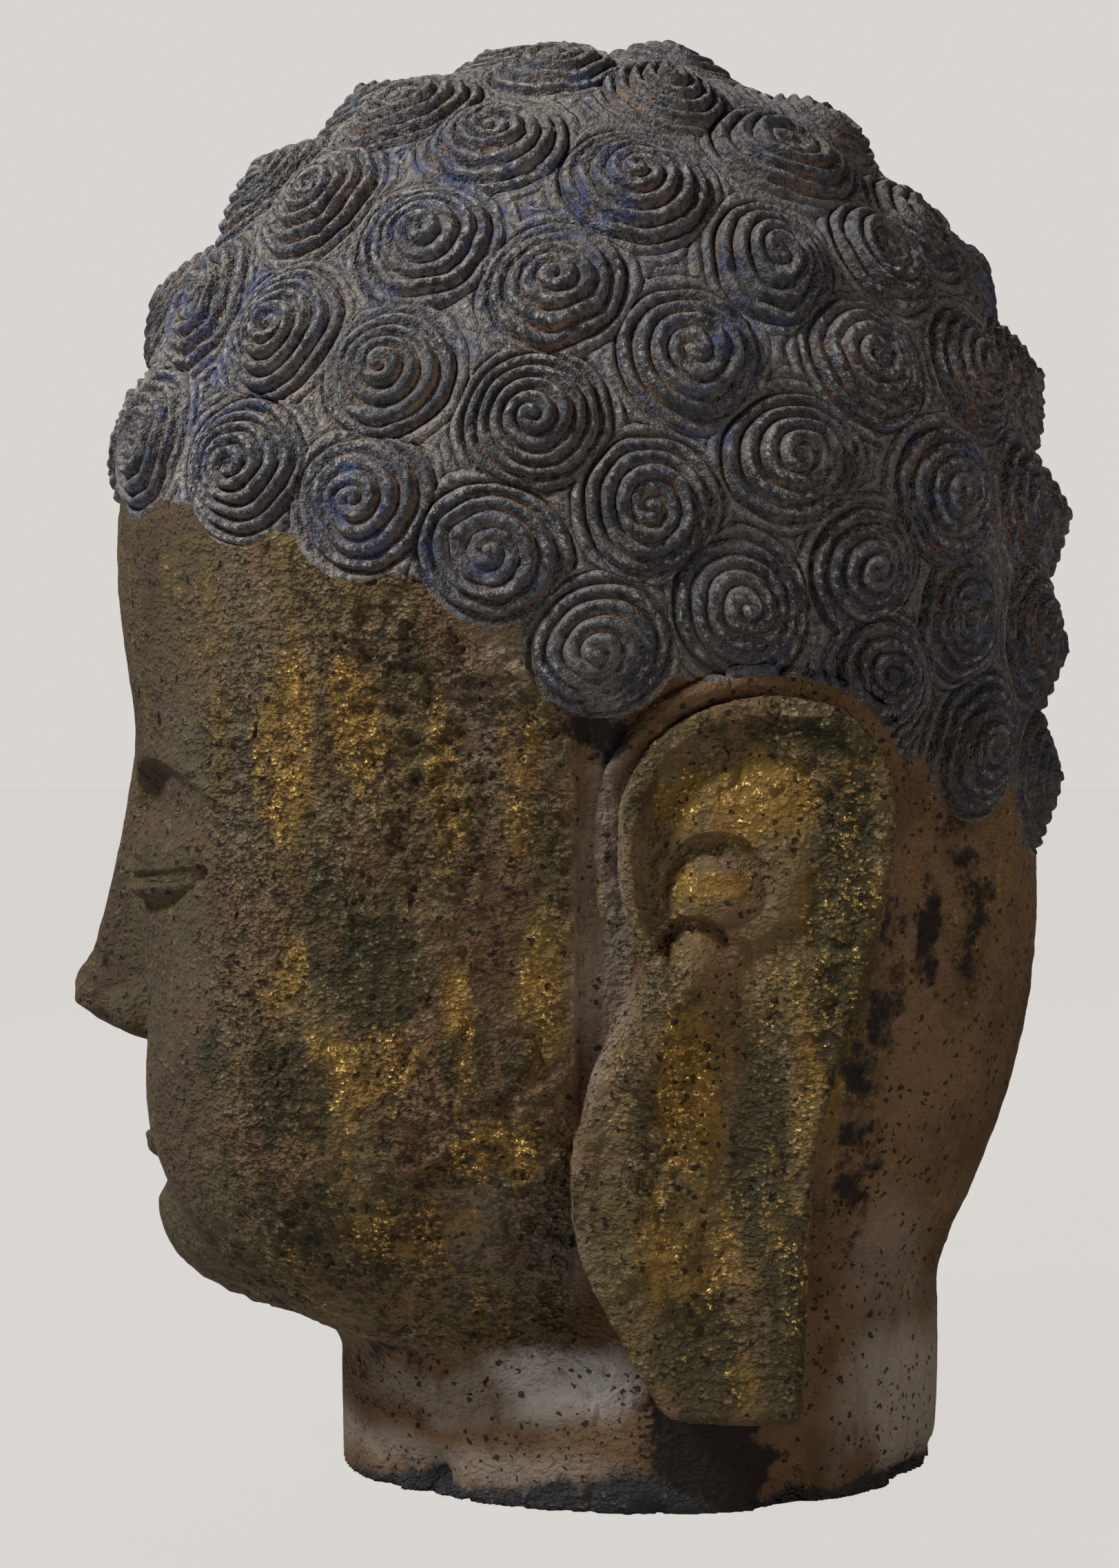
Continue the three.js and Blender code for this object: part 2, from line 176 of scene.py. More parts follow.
def ear_face(y, z, edge):
    """How far out the carved face of the ear stands; edge is the distance in from its outline."""
    upper = ease(178, 205, z)
    x = 128 + 0.19 * y + 0.05 * (z - 60)
    rim = 0.3 + 0.7 * upper * ease(108, 84, y)
    x += 3.2 * rim * ease(8.5, 5.5, edge)                                                 # rolled rim
    bowl = np.hypot((y - 54) / 33, (z - 226) / 42)
    x -= (4.5 * ease(1.08, 0.95, bowl) - 3.2 * ease(0.9, 0.5, bowl)) * upper * ease(102, 76, y)
    arch = np.hypot((y - 47) / 18, (z - 218) / 18)
    x -= 4.6 * ease(1.07, 0.94, arch) * (1 - ease(0.92, 0.3, arch)) * ease(206, 224, z)   # inner fold
    x += 2.6 * dome(((y - 46) / 17) ** 2 + ((z - 217) / 11) ** 2)                         # swelling below it
    hole = np.hypot((y - 39) / 12.5, (z - 196) / 12)
    x -= 4.8 * ease(1.15, 0.9, hole) * (1 - ease(0.95, 0.2, hole)) * ease(192, 202, z)    # ear hole
    x += 5.5 * bell(segment_distance(y, z, (40, 192), (23, 160)) / 8.5)                   # edge of the lobe
    x += 3 * bell(segment_distance(y, z, (22, 160), (18, 90)) / 8)
    x -= 5 * bell(segment_distance(y, z, (58, 185), (48, 70)) / 12)                       # hollow down it
    return x


def hollow_before_ear(y, z):
    """Depth of the hollow between cheek and ear."""
    return 3.2 * ease(0.5, 2.5, y) * ease(26, 15, y) * ease(128, 165, z) * ease(286, 276, z)


def roll_over_ear(y, z, outside):
    """Height of the plain roll of stone between the top of the ear and the hair."""
    height = 1.8 + 5.2 * np.maximum(ease(22, 36, y), ease(250, 266, z))
    return height * dome(((outside - 4.6) / 4.8) ** 2) * ease(190, 216, z)


class SidePlan:
    """Outline, face and surroundings of the ear on a fine grid over (y, z), looked up for many points."""

    def __init__(self):
        y = np.arange(PLAN_LOW[0], PLAN_HIGH[0], PLAN_STEP)
        z = np.arange(PLAN_LOW[1], PLAN_HIGH[1], PLAN_STEP)
        y, z = np.meshgrid(y, z, indexing="ij")
        outside = loop_distance(y, z, rounded_loop(EAR_OUTLINE))
        around = hollow_before_ear(y, z) - roll_over_ear(y, z, outside)
        self.maps = np.stack((outside, ear_face(y, z, -outside), around), axis=-1)

    def at(self, y, z):
        """Distance outside the outline, height of the ear's face and depth of the ground round it."""
        u = np.clip((y - PLAN_LOW[0]) / PLAN_STEP, 0, self.maps.shape[0] - 1.001)
        v = np.clip((z - PLAN_LOW[1]) / PLAN_STEP, 0, self.maps.shape[1] - 1.001)
        i, j = u.astype(int), v.astype(int)
        s, t = (u - i)[:, None], (v - j)[:, None]
        m = self.maps
        below = m[i, j] * (1 - s) + m[i + 1, j] * s
        above = m[i, j + 1] * (1 - s) + m[i + 1, j + 1] * s
        return (below * (1 - t) + above * t).T


# ------------------------ the form
def ellipsoid(x, y, z, centre, half):
    qx, qy, qz = (x - centre[0]) / half[0], (y - centre[1]) / half[1], (z - centre[2]) / half[2]
    k0 = np.sqrt(qx * qx + qy * qy + qz * qz)
    k1 = np.sqrt((qx / half[0]) ** 2 + (qy / half[1]) ** 2 + (qz / half[2]) ** 2)
    return k0 * (k0 - 1) / np.maximum(k1, 1e-9)


def skull(x, y, z):
    """The plain mass of the head: negative inside."""
    f = ellipsoid(x, y, z, *CRANIUM)
    f = soft_min(f, ellipsoid(x, y, z, *NAPE), 22)
    f = soft_min(f, ellipsoid(x, y, z, *MIDFACE), 26)
    f = soft_min(f, ellipsoid(np.abs(x), y, z, *CHEEK), 24)
    return soft_min(f, ellipsoid(x, y, z, *CHIN), 20)


def neck(x, y, z):
    around = (np.hypot(x / NECK_HALF[0], (y - NECK_Y) / NECK_HALF[1]) - 1) * 100
    return np.maximum(around, z - NECK_TOP)


def mass(x, y, z):
    """The plain mass of head and neck: negative inside."""
    return np.maximum(soft_min(skull(x, y, z), neck(x, y, z), NECK_BLEND), -z)


def head_with_ears(x, y, z, plan):
    ax = np.abs(x)
    outside, face, hollow = plan.at(y, z)
    head = mass(ax + hollow * ease(60, 90, ax), y, z)
    ear = soft_max(outside, ax - face, 3.5)
    ear = np.where(ax > 60, ear, 50)
    return soft_min(head, ear, 2.0)


def leave(origin, directions, form, halvings=17):
    """Where rays from the origin come out of a form."""
    near, far = (np.full(len(directions), reach) for reach in SEARCH)
    for _ in range(halvings):
        middle = (near + far) / 2
        outside = form(*(origin + directions * middle[:, None]).T) > 0
        far = np.where(outside, middle, far)
        near = np.where(outside, near, middle)
    return origin + directions * near[:, None]


def unit(v):
    return v / np.linalg.norm(v, axis=-1, keepdims=True)


def normals_of(form, points, step=0.6):
    """Which way a form faces at points of its surface."""
    shifts = np.eye(3) * step
    return unit(np.stack([form(*(points + s).T) - form(*(points - s).T) for s in shifts], axis=1))


# ------------------------ face, as a height towards -Y over |x| and z
HAIRLINE_Z, CHIN_Z = 351.0, 58.0
THIRD = (HAIRLINE_Z - CHIN_Z) / 3
BROW_Z = HAIRLINE_Z - THIRD
NOSE_Z = BROW_Z - THIRD
EYE_X, EYE_Z, EYE_HALF, EYE_BULGE = 50, BROW_Z - 0.3 * THIRD, (33, 17), 10.5
MOUTH_Z, MOUTH_HALF = NOSE_Z - 0.34 * THIRD, 31


def nose(ax, z):
    t = np.clip((BROW_Z + 4 - z) / (BROW_Z - NOSE_Z - 5), 0, 1)
    half = 13 + 7 * t
    bridge = (6 + 8 * t + 17 * t ** 2) * (1 - ease(0.05, 1.3, ax / half))
    bridge = bridge * ease(NOSE_Z + 1, NOSE_Z + 12, z) * ease(BROW_Z + 34, BROW_Z - 10, z)
    tip = 31 * dome((ax / 17) ** 2 + ((z - NOSE_Z - 15) / 17) ** 2)
    wing = 19 * dome(((ax - 17) / 11) ** 2 + ((z - NOSE_Z - 10) / 11) ** 2)
    nostril = 5 * bell((ax - 9) / 4.5) * bell((z - NOSE_Z - 1) / 3)
    return np.maximum(0, soft_max(soft_max(bridge, tip, 10), wing, 8) - 2 - nostril)


def eye_socket(ax, z):
    below = BROW_Z + 5 - 19 * ((ax - 52) / 46) ** 2 - z
    deep = 1.5 + 6.5 * ease(100, 26, ax)
    cut = 1.2 * bell((below + 2) / 4) - deep * ease(-1, 7, below) * (1 - ease(14, 54, below))
    return cut * ease(5, 26, ax) * ease(104, 76, ax)


def eye(ax, z):
    ex, ez = (ax - EYE_X) / EYE_HALF[0], (z - EYE_Z) / EYE_HALF[1]
    across = dome(ex * ex)
    over = z - (EYE_Z - 6.5 + 3 * ex * ex + 1.2 * ex)
    opening = ease(0.6, -0.4, over) * ease(-5.0, -4.2, over) * np.sqrt(across)
    crease = bell((over - 17.5 * across + 1.0) / 1.1) * across
    lower_lid = bell((over + 6.2) / 2.2) * across
    return EYE_BULGE * dome(ex * ex + ez * ez) - 2.2 * opening - 0.9 * crease + 0.9 * lower_lid


def mouth(ax, z):
    m = ax / MOUTH_HALF
    across = np.clip(1 - m * m, 0, None)
    v = z - (MOUTH_Z + 2.6 * m * m - 1.0 * bell(ax / 5))
    up = 10 * across ** 0.75 * (1 - 0.2 * bell(ax / 5)) + 1e-6
    down = 12.5 * across ** 0.6 + 1e-6
    h = 3 * bell(ax / 40) * bell(v / 22)
    h = h + np.where((v >= 0) & (v < up), 5.2 * np.clip(1 - v / up, 0, 1) ** 0.55 * across ** 0.5, 0)
    h = h + np.where((v < 0) & (-v < down), 6.2 * dome(((-v / down - 0.4) / 0.62) ** 2) * across ** 0.5, 0)
    h = h - 3 * bell(v / 1.5) * ease(1.08, 0.85, m)
    h = h - 1.8 * bell((ax - MOUTH_HALF - 3) / 6) * bell((z - MOUTH_Z - 2.5) / 8)
    h = h - 1.7 * bell(ax / 3.6) * ease(MOUTH_Z + 9, MOUTH_Z + 14, z) * ease(NOSE_Z + 2, NOSE_Z - 4, z)
    return h - 3.5 * bell((z - MOUTH_Z + 20) / 6) * bell(ax / 26)


def face_relief(x, z):
    ax = np.abs(x)
    return nose(ax, z) + eye_socket(ax, z) + eye(ax, z) + mouth(ax, z)


# ------------------------ hair
class Curls:
    """Every curl's place, reach and way of coiling."""

    def __init__(self, pitch, depth, height):
        azimuths, latitudes = [], []
        for row_latitude, row in CURL_ROWS:
            for entry in row:
                azimuth, latitude = entry if isinstance(entry, tuple) else (entry, row_latitude)
                for side in (1,) if azimuth in (0, 180) else (1, -1):
                    azimuths.append(side * azimuth)
                    latitudes.append(latitude)
        a, la = np.radians(azimuths), np.radians(latitudes)
        s, c = math.sin(CROWN_TILT), math.cos(CROWN_TILT)
        forward, up = np.sin(la) * np.cos(a), np.cos(la)
        directions = np.stack((np.sin(la) * np.sin(a), up * s - forward * c, up * c + forward * s), axis=1)
        self.centre = leave(np.array(CRANIUM[0], float), directions, mass, halvings=26)
        apart = np.linalg.norm(self.centre[:, None] - self.centre[None], axis=2)
        nearest = np.sort(apart, axis=1)[:, 1:3]
        self.radius = np.clip(nearest.sum(axis=1) / 4, *CURL_RADIUS)
        self.normal = normals_of(mass, self.centre)
        self.across = unit(np.cross((0.3, 0.2, 1.0), self.normal))
        self.along = np.cross(self.normal, self.across)
        rng = np.random.default_rng(7)
        n = len(self.centre)
        self.depth, self.height = depth, height
        self.pitch = pitch * rng.uniform(0.9, 1.12, n)
        self.turn = np.where(rng.random(n) < 0.5, 1, -1)
        self.start = rng.random(n)
        self.wear = rng.uniform(-0.5, 0.5, n)
        self.off = rng.uniform(-1.6, 1.6, (n, 2))
        self.long = rng.uniform(0, 0.09, n)
        self.lean = rng.uniform(0, math.pi, n)
        self.radius *= rng.uniform(0.97, 1.06, n)
        self.snapped = rng.uniform(0.60, 1.30, n)

    def nearest(self, points):
        """The curl each point belongs to, how far beyond its edge it lies, and its lead over the next."""
        best, runner_up = np.full(len(points), 1e9), np.full(len(points), 1e9)
        owner = np.zeros(len(points), int)
        for i, (centre, radius) in enumerate(zip(self.centre, self.radius)):
            beyond = np.linalg.norm(points - centre, axis=1) - radius
            closer = beyond < best
            runner_up = np.where(closer, best, np.minimum(runner_up, beyond))
            owner = np.where(closer, i, owner)
            best = np.where(closer, beyond, best)
        return owner, best, runner_up - best

    def coil(self, points, owner):
        """Place across the curl in turns of its coil, and turns out before the angle is taken off."""
        v = points - self.centre[owner]
        a = (v * self.across[owner]).sum(1) - self.off[owner, 0]
        b = (v * self.along[owner]).sum(1) - self.off[owner, 1]
        c, s = np.cos(self.lean[owner]), np.sin(self.lean[owner])
        a, b = (a * c + b * s) * (1 + self.long[owner]), (b * c - a * s) * (1 - self.long[owner])
        a, b = a / self.pitch[owner], b / self.pitch[owner] * self.turn[owner]
        wander = 0.17 * noise(points, 8, 11) + 0.34 * noise(points, 24, 12)
        return a, b, np.hypot(a, b) + self.start[owner] + wander

    def relief(self, points):
        """Height over the head, share of hair, place in the coil, share of ground, and if on the left."""
        owner, beyond, gap = self.nearest(points)
        a, b, turns = self.coil(points, owner)
        rho = np.hypot(a, b) * self.pitch[owner]
        part = (turns - np.arctan2(b, a) / math.tau) % 1
        groove = np.maximum(1 - part / CREST, (part - CREST) / (1 - CREST))
        rope = (1 - groove ** 1.9) ** 0.8
        terrace = (part - 0.5) * (1 - groove ** 6)
        q = np.clip((rho - 0.7 * terrace * self.pitch[owner]) / self.radius[owner], 0, 1.4)
        worn = ease(-0.9, 0.9, noise(points, 36, 13) + self.wear[owner])
        in_gap = ease(1.0, 1.15, q) * (0.45 + 0.45 * ease(-0.3, 0.5, noise(points, 30, 16)))
        deep = self.depth * (1 - 0.25 * worn) * (1 - in_gap)
        height = (self.height - CURL_FOOT) * (1 - np.clip(q, 0, 1) ** 1.4) + 1.2 * bell(rho / 4.5)
        tip = self.snapped[owner] * (self.height - CURL_FOOT) + 1.6 * layered_noise(points, 5, 19)
        snap = ease(-0.5, 1.0, height - tip)
        height = soft_min(height, tip, 1.2)
        nicks = ease(0.2, 0.55, layered_noise(points, 7, 17)) * (0.4 + 0.6 * worn)
        rope = rope * (1 - 0.42 * nicks) * (1 + 0.22 * noise(points, 13, 18)) * (1 - 0.55 * snap)
        height = height + deep * (rope - 0.85) * ease(0, 0.35 * self.pitch[owner], rho)
        height = height - 0.8 * bell(gap / 1.8) + 0.5 * noise(points, 14, 14)
        level = (points - np.array(CRANIUM[0])) @ np.array((0, math.sin(CROWN_TILT), math.cos(CROWN_TILT)))
        edge = -27 + 2.0 * noise(points, 16, 15)
        on_hair = np.maximum(ease(2.2, 0.2, beyond), ease(edge - 2.5, edge, level))
        ground = ease(0.92, 1.12, q)
        return height + 1.0, on_hair, np.stack((a, b, turns), axis=1), ground, self.centre[owner, 0] > -1


# ------------------------ weathering
def chip_base(points):
    """Draws in the broken rim of the cut underside; also says where the stone is broken."""
    x, y, z = points.T
    around = np.stack((x, y - NECK_Y, np.zeros(len(x))), axis=1)
    bite = layered_noise(points * (1, 1, 0.6), 26, 21) + 0.35 * layered_noise(points, 7, 24)
    low = ease(24, 2, z + 9 * noise(points, 18, 28))
    depth = 13 * np.clip(bite + 0.02, 0, 1) * low
    back = ease(60, 115, y) * ease(14, 0, z) * (0.6 + 0.4 * noise(points, 12, 27))
    depth = depth + 7 * np.clip(back, 0, 1)
    side = ease(0.93, 1.0, np.hypot(x / NECK_HALF[0], (y - NECK_Y) / NECK_HALF[1]))
    rise = 1 + 6 * bell((y + 8) / 40) + 9 * bell((y - 20) / 15)
    ragged = z - rise - 9 * layered_noise(points * (1, 1, 0.3), 30, 29, 5)
    broken = ease(1.2, -0.6, ragged - 1.2 * depth) * side
    return points - unit(around + 1e-9) * (depth * side)[:, None], broken


def roughen(points, normals, on_hair, crust):
    """Unevenness of hand-cut, weathered stone."""
    broad = 0.8 * noise(points, 38, 31)
    lumps = 1.3 * layered_noise(points, 9, 33) + 2.6 * layered_noise(points * (1, 1, 1.15), 5.2, 37, 2)
    scab = ease(-0.15, 0.25, layered_noise(points * (1, 1, 0.6), 22, 39, 4))
    lumps = crust * (lumps * (0.40 + 0.60 * scab) + 0.9 * scab)
    pits = -1.1 * ease(0.42, 0.55, layered_noise(points * (1, 1, 0.6), 6, 41)) * (1 - on_hair)
    height = broad + (1 - on_hair) * (lumps + pits) + on_hair * 0.5 * layered_noise(points, 4.5, 45)
    return points + normals * height[:, None]


# patches of finish, painted light and painted shade seen from the side: middle (y, z), half sizes, strength;
# the same on both sides
GILT = (
    (-119, 293, 14, 26, 0.55), (-93, 261, 11, 34, 1.0), (-72, 269, 10, 20, 0.9), (-44, 251, 6, 34, 0.8),
    (-19, 249, 10, 28, 0.75), (-97, 191, 9, 18, 0.6), (-65, 156, 16, 14, 1.0), (-38, 169, 6, 18, 0.8),
    (-11, 181, 8, 30, 0.6), (-26, 131, 18, 12, 0.7), (-77, 135, 9, 20, 0.6), (-48, 96, 26, 20, 0.7),
    (52, 246, 28, 12, 0.9), (44, 219, 14, 8, 1.0), (86, 190, 14, 64, 0.9), (42, 150, 14, 36, 0.9),
    (40, 92, 16, 30, 0.6), (60, 66, 14, 18, 0.5), (-150, 322, 24, 22, 0.35), (-146, 130, 22, 24, 0.3),
    (46, 140, 34, 70, 0.3),
)
GROWTH = (
    (-49, 297, 22, 14, 0.6), (-85, 213, 12, 14, 0.8), (-65, 190, 20, 24, 1.0), (-95, 149, 16, 24, 1.0),
    (-31, 157, 20, 14, 1.0), (-31, 121, 10, 16, 0.9), (-122, 161, 5, 9, 0.8), (-80, 102, 24, 20, 0.7),
    (-12, 112, 16, 20, 0.7), (90, 206, 17, 64, 0.95), (68, 271, 26, 6, 1.0), (20, 245, 5, 22, 0.7),
    (64, 120, 12, 60, 0.8), (70, 66, 8, 24, 0.9), (18, 110, 8, 40, 0.6), (50, 64, 30, 30, 0.9),
)
# pale patches: washed pale stone, and painted light in the hollow before the ear and on the right of the neck
PALE_AND_LIT = ((-4, 43, 22, 11, 1.3), (-48, 38, 24, 8, 0.4), (9, 200, 9, 70, 0.3), (119, 30, 24, 26, 0.6),
        (112, 80, 14, 30, 0.2), (-40, 14, 50, 8, 0.35), (-20, 96, 26, 24, 0.3), (-12, 300, 18, 18, 0.3),
        (-32, 266, 24, 26, 0.15), (-112, 280, 24, 40, 0.22))
# dark patches: pigment at the top of the hollow before the ear, darker stone behind the ears, and painted
# shade under the lobe down to the base and under the jaw
DARK_AND_SHADE = ((46, 10, 22, 44, 1.6), (6, 266, 12, 8, 1.0), (121, 202, 6, 26, 0.85), (106, 186, 7, 34, 0.75),
        (136, 214, 10, 40, 0.6), (97, 128, 9, 40, 0.65), (-66, 48, 14, 12, 0.5))


def patches(points, places, seed):
    """How strongly a finish, painted light or painted shade shows, from soft-edged patches with ragged
    outlines.
    """
    y = points[:, 1] + 8 * layered_noise(points * (1, 1, 0.5), 26, seed, 5)
    z = points[:, 2] + 14 * layered_noise(points, 26, seed + 6, 5)
    strength = np.zeros(len(points))
    for middle_y, middle_z, half_y, half_z, most in places:
        far = np.hypot((y - middle_y) / half_y, (z - middle_z) / half_z)
        strength = np.maximum(strength, most * ease(1.5, 0.5, far))
    return strength


# ------------------------ pieces
FACE, EARS_AND_NECK, LEFT_CURLS, RIGHT_CURLS = range(4)
UPWARDS = 0.2                                    # how much finer the mesh is towards the crown


def sphere_of_squares(cells):
    """A cube split into squares, and the direction from the core that each of its points stands for."""
    bm = bmesh.new()
    bmesh.ops.create_cube(bm, size=2)
    bmesh.ops.subdivide_edges(bm, edges=bm.edges[:], cuts=cells - 1, use_grid_fill=True)
    mesh = bpy.data.meshes.new("stone block")
    bm.to_mesh(mesh)
    bm.free()
    cube = np.empty(len(mesh.vertices) * 3)
    mesh.vertices.foreach_get("co", cube)
    return mesh, unit(unit(np.tan(cube.reshape(-1, 3) * math.pi / 4)) + (0, 0, UPWARDS))


def carved_points(directions, plan, curls):
    """Where the finished surface lies in these directions, and what its finish needs to know."""

    def form(x, y, z):
        return head_with_ears(x, y, z, plan)

    foot = leave(CORE, directions, form)
    normal = normals_of(form, foot)
    x, y, z = foot.T
    outside = plan.at(y, z)[0]
    height, on_hair, coil, ground, left = curls.relief(foot)
    margin = np.where(z > 200, 9.0, 3.5)                                  # bare stone round the ear
    on_hair = on_hair * (1 - ease(margin, margin - 2.5, outside) * ease(60, 80, np.abs(x)))
    of_face = (y < 1) & (outside > 2) & (skull(x, y, z) < neck(x, y, z))
    skin = np.where(of_face, FACE, EARS_AND_NECK)
    zone = np.where(on_hair < 0.02, skin, np.where(left, LEFT_CURLS, RIGHT_CURLS))
    front = ease(-30, -66, y)
    points = foot + normal * (height * on_hair)[:, None]
    points[:, 1] -= face_relief(x, z) * front
    on_ear = ease(2, -1, outside) * ease(90, 105, np.abs(x))
    aged = np.maximum(ease(4, -6, y), on_ear) * ease(44, 62, z) * (1 - on_hair)
    bowl = ease(1.2, 0.8, np.hypot((y - 50) / 32, (z - 226) / 40))
    smooth = np.maximum(0.7 * ease(-112, -140, y) * front, on_ear * (0.2 + 0.5 * bowl))
    rind = 0.12 + 0.10 * ease(60, 90, z)
    patchy = 0.55 + 0.45 * ease(-0.25, 0.2, layered_noise(foot * (1, 1, 0.4), 26, 48))
    crust = np.maximum(aged * (1 - smooth) * patchy, rind * (1 - on_hair))
    points = roughen(points, normal, on_hair, crust)
    points, broken = chip_base(points)
    points[:, 2] = np.maximum(points[:, 2], 0)
    points = np.clip(points, np.array(LOWEST), np.array(HIGHEST))
    bare = 1 - on_hair
    # the pale patches also paint light in the hollow before the ear and on the right of the neck
    finish = (patches(foot, places, seed) * bare for places, seed in ((GILT, 51), (GROWTH, 61), (PALE_AND_LIT, 71)))
    # dark stone and painted shade, kept off the ears
    dark = patches(foot, DARK_AND_SHADE, 81) * bare * (1 - on_ear)
    return points, zone, coil, ground, crust, aged, *finish, dark, broken


ATTRIBUTES = ("coil", "ground", "crust", "aged", "gilt", "growth", "pale", "dark", "broken")


def store(mesh, name, values):
    kind, field = ("FLOAT", "value") if values.ndim == 1 else ("FLOAT_VECTOR", "vector")
    data = mesh.attributes.new(name, kind, "POINT").data
    data.foreach_set(field, values.astype(np.float32).ravel())


def spread(task, values, parts=24):
    """Runs a task on parts of the values side by side and joins what it gives."""
    with ThreadPoolExecutor() as pool:
        results = list(pool.map(task, np.array_split(values, parts)))
    return [np.concatenate(r) for r in zip(*results)]


def seam_points(mesh, zone):
    """Which zone each face lies in, and which points lie between zones."""
    corners = np.empty(len(mesh.loops), int)
    mesh.loops.foreach_get("vertex_index", corners)
    faces = corners.reshape(-1, 4)
    face_zone = zone[faces].min(axis=1)
    least, most = np.full(len(zone), 9), np.full(len(zone), -1)
    for corner in faces.T:
        np.minimum.at(least, corner, face_zone)
        np.maximum.at(most, corner, face_zone)
    return face_zone, least != most


def carve(sizes):
    """The whole head as one closed mesh, its faces marked by zone."""
    mesh, directions = sphere_of_squares(sizes.cells)
    plan = SidePlan()
    curls = Curls(sizes.coil_pitch / MM, sizes.coil_depth / MM, sizes.curl_height / MM)
    points, zone, *values = spread(lambda part: carved_points(part, plan, curls), directions)
    mesh.vertices.foreach_set("co", (points * MM).ravel())
    for name, value in zip(ATTRIBUTES, values):
        store(mesh, name, value)
    face_zone, between = seam_points(mesh, zone)
    mesh.polygons.foreach_set("material_index", face_zone)
    store(mesh, "seam", between.astype(float))
    mesh.update()
    return mesh


BLOCKS = {}                                      # a block that is carved already, by its sizes


def carved_block(sizes):
    key = (sizes.cells, sizes.curl_height, sizes.coil_pitch, sizes.coil_depth)
    if key not in BLOCKS:
        BLOCKS.clear()
        BLOCKS[key] = carve(sizes)
    return BLOCKS[key]


def new_piece(name, mesh):
    piece = bpy.data.objects.new(name, mesh)
    bpy.context.scene.collection.objects.link(piece)
    return piece


def thin(piece, triangles):
    """Merges the flattest facets until the piece has this many triangles; its open edge stays as it is."""
    mesh = piece.data
    seam = np.empty(len(mesh.vertices), np.float32)
    mesh.attributes["seam"].data.foreach_get("value", seam)
    group = piece.vertex_groups.new(name="free")
    group.add(np.flatnonzero(seam < 0.5).tolist(), 1, "REPLACE")
    modifier = piece.modifiers.new("thin", "DECIMATE")
    modifier.ratio = triangles / (2 * len(mesh.polygons))
    modifier.vertex_group = "free"
    modifier.vertex_group_factor = 1000
    modifier.use_collapse_triangulate = True
    evaluated = piece.evaluated_get(bpy.context.evaluated_depsgraph_get())
    thinned = bpy.data.meshes.new_from_object(evaluated)
    piece.modifiers.clear()
    piece.vertex_groups.clear()
    thinned.attributes.remove(thinned.attributes["seam"])
    piece.data = thinned
    thinned.name = piece.name


def zone_piece(name, zone, sizes):
    """One zone of the carved block as a closed piece: its skin, and flat walls from its edge to the core."""
    bm = bmesh.new()
    bm.from_mesh(carved_block(sizes))
    others = [face for face in bm.faces if face.material_index != zone]
    bmesh.ops.delete(bm, geom=others, context="FACES")
    for face in bm.faces:
        face.material_index = 0
    mesh = bpy.data.meshes.new(name)
    bm.to_mesh(mesh)
    bm.free()
    piece = new_piece(name, mesh)
    thin(piece, sizes.triangles)
    bm = bmesh.new()
    bm.from_mesh(piece.data)
    for vert in bm.verts:
        vert.co.z = max(vert.co.z, LOWEST.z * MM)
    for face in bm.faces:
        face.smooth = True
    rim = [edge for edge in bm.edges if edge.is_boundary]
    for edge in rim:
        edge.smooth = False
    walls = bmesh.ops.extrude_edge_only(bm, edges=rim)["geom"]
    inner = [part for part in walls if isinstance(part, bmesh.types.BMVert)]
    bmesh.ops.pointmerge(bm, verts=inner, merge_co=Vector(CORE) * MM)
    for face in walls:
        if isinstance(face, bmesh.types.BMFace) and face.is_valid:
            face.smooth = False
    bm.to_mesh(piece.data)
    bm.free()
    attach(piece, "root")
    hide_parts("stone_head")
    return piece


